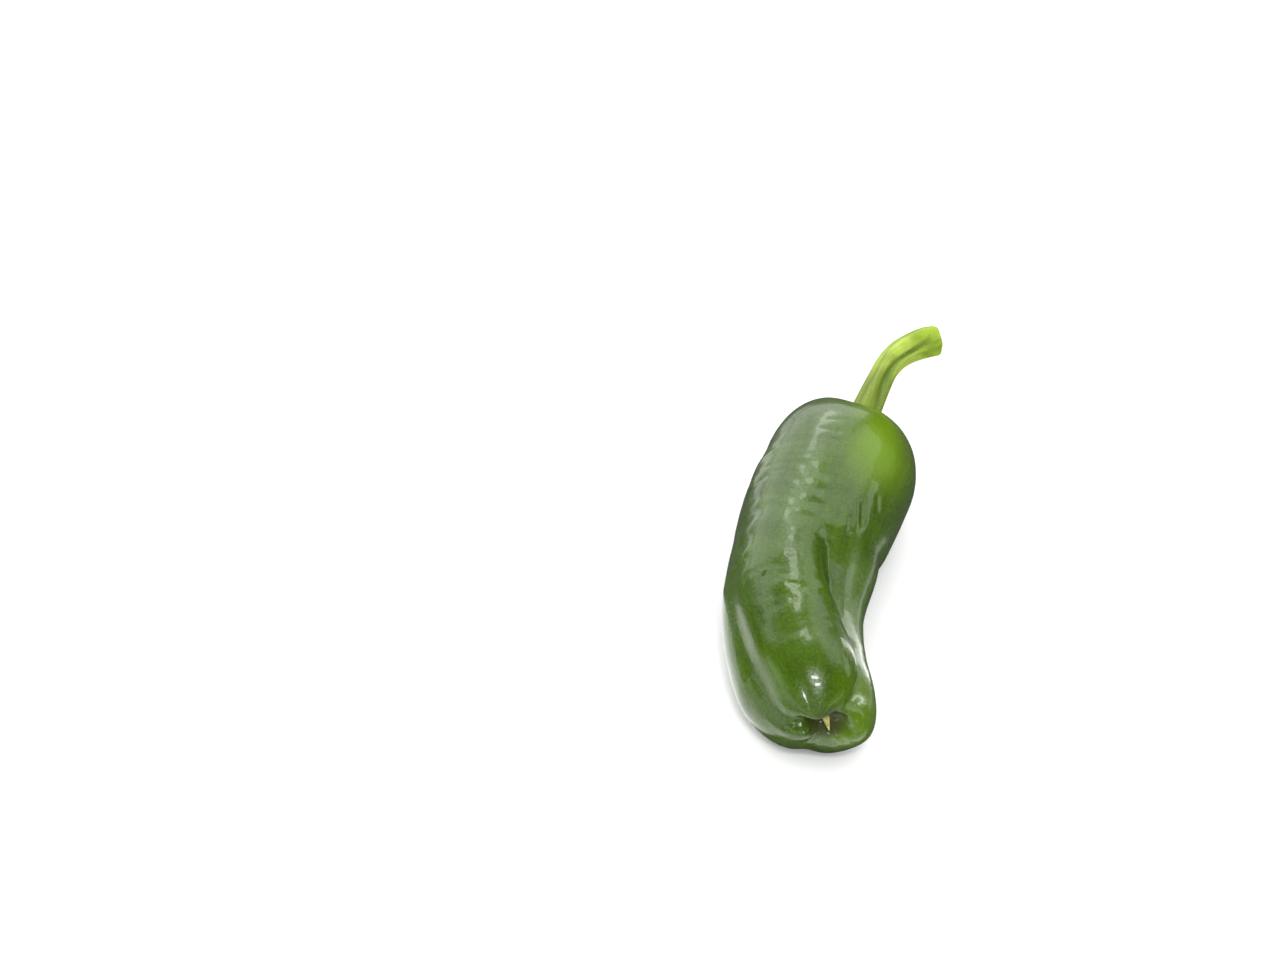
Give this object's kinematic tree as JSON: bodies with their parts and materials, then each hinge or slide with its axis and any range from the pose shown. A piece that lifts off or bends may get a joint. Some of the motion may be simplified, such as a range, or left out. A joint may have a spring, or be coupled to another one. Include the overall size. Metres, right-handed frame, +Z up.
{
  "type": "sweet pepper",
  "caption": "Slim green sweet pepper lying on its side, bent, with soft lobes, a deep fold, a hooked ribbed stem and a small dry style tip.",
  "frame": {"origin": "on the table under the middle of the pepper's bounding box, as it lies on its two lower lobes", "axes": "+Y from the blossom end towards the stem, +Z up, +X towards the side that the stem hooks to"},
  "size_m": [0.0442, 0.0964, 0.0273],
  "materials": {
    "fruit_skin": "gloss",
    "stem_green": "satin",
    "dry_tip": "matte"
  },
  "bodies": {
    "root": {"fruit": "fruit_skin", "stem_and_calyx": "stem_green", "blossom_tip": "dry_tip"}
  },
  "joints": []
}
